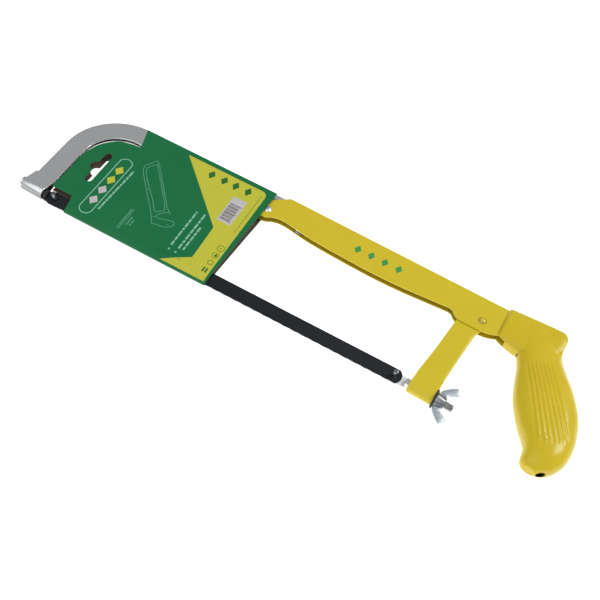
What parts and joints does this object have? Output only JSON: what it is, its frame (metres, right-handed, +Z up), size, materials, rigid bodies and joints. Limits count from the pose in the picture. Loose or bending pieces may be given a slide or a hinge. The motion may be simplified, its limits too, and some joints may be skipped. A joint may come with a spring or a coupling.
{
  "type": "hacksaw",
  "caption": "Adjustable-frame hacksaw with a plated front bow, a painted rear channel, a cast pistol grip, a wing-nut blade tensioner and a card sleeve.",
  "frame": {"origin": "on the surface the saw lies on, under the middle of its bounding box", "axes": "+X from the nose to the handle, +Y from the teeth to the spine, +Z up out of the saw's side"},
  "size_m": [0.4702, 0.124, 0.027],
  "materials": {
    "blade_black": "satin black lacquer",
    "bow_plate": "plated, softly polished",
    "holder_front": "black oxide",
    "pin_steel": "bright",
    "bolt_zinc": "zinc plated",
    "frame_paint": "gloss yellow enamel",
    "rivet_bright": "bright zinc",
    "washer_dark": "black",
    "nut_zinc": "blue-white zinc",
    "grip_paint": "gloss yellow enamel",
    "card_print": "coated printed board"
  },
  "bodies": {
    "frame": {"rear_channel": "frame_paint", "rear_post": "frame_paint", "handle_casting": "grip_paint", "post_rivet": "frame_paint", "adjuster_rivet": "rivet_bright", "adjuster_spacer": "rivet_bright", "handle_rivets": "grip_paint", "flat_washer": "washer_dark", "card_sleeve": "card_print"},
    "bow": {"front_bow": "bow_plate", "front_holder": "holder_front", "front_blade_pin": "pin_steel"},
    "bolt": {"tension_bolt": "bolt_zinc", "rear_blade_pin": "pin_steel", "saw_blade": "blade_black"},
    "nut": {"wing_nut": "nut_zinc"}
  },
  "joints": [
    {"name": "wing_nut_turn", "type": "hinge", "parent": "frame", "child": "nut", "pos_m": [0.13448, -0.04419, 0.0135], "axis": [0.9988, -0.0489, 0], "range_deg": [0, 1440]},
    {"name": "bolt_draw", "type": "slide", "parent": "frame", "child": "bolt", "axis": [-0.9988, 0.0489, 0], "range_m": [0, 0.004]},
    {"name": "bow_shift", "type": "slide", "parent": "frame", "child": "bow", "axis": [-0.9988, 0.0489, 0], "range_m": [0, 0.004]}
  ],
  "couplings": [
    {"joint": "wing_nut_turn", "follows": "bolt_draw", "rad_per_m": 6283.2},
    {"joint": "bow_shift", "follows": "bolt_draw", "ratio": 1}
  ]
}
